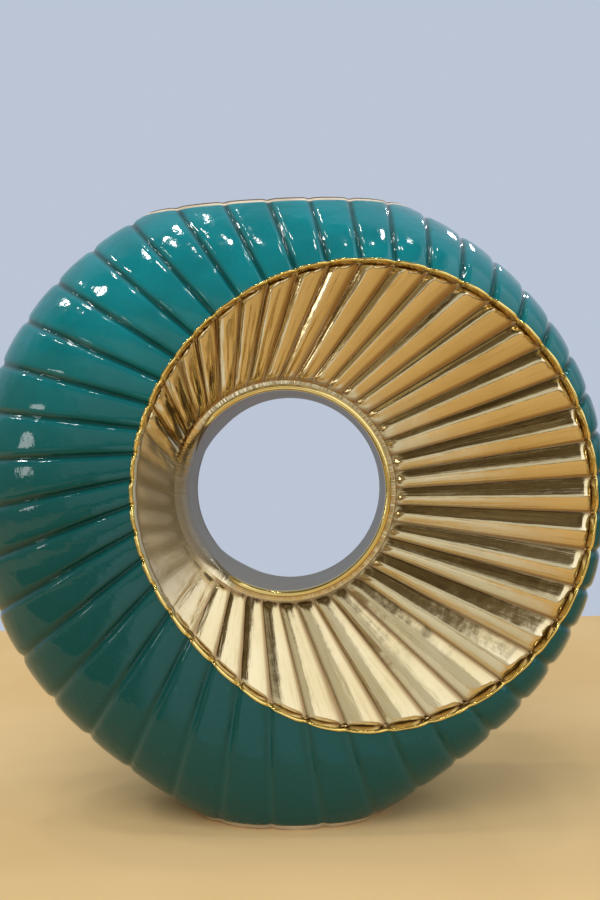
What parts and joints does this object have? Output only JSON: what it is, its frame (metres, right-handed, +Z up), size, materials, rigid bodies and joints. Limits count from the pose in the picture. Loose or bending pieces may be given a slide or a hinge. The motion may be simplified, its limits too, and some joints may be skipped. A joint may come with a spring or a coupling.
{
  "type": "ring vase",
  "caption": "Upright hollow ring vase with a round hole through it, fluted faces, a slot mouth on top and an oval foot, in teal glaze with a gold funnel.",
  "frame": {"origin": "on the table, under the middle of the foot", "axes": "+Z up, +X to the right of the pictured face, -Y out of that face"},
  "size_m": [0.2855, 0.0912, 0.275],
  "materials": {
    "teal_glaze": "glossy teal glaze on a cast ceramic body",
    "gold_lustre": "mirror-bright gold lustre fired over the glaze",
    "bare_clay": "bare fired cream clay"
  },
  "bodies": {
    "root": {"front_shell": "teal_glaze", "rear_shell": "teal_glaze", "front_dish": "gold_lustre", "rear_dish": "gold_lustre", "hole_sleeve": "gold_lustre", "mouth_rim": "bare_clay", "foot_ring": "bare_clay", "base_floor": "teal_glaze"}
  },
  "joints": []
}
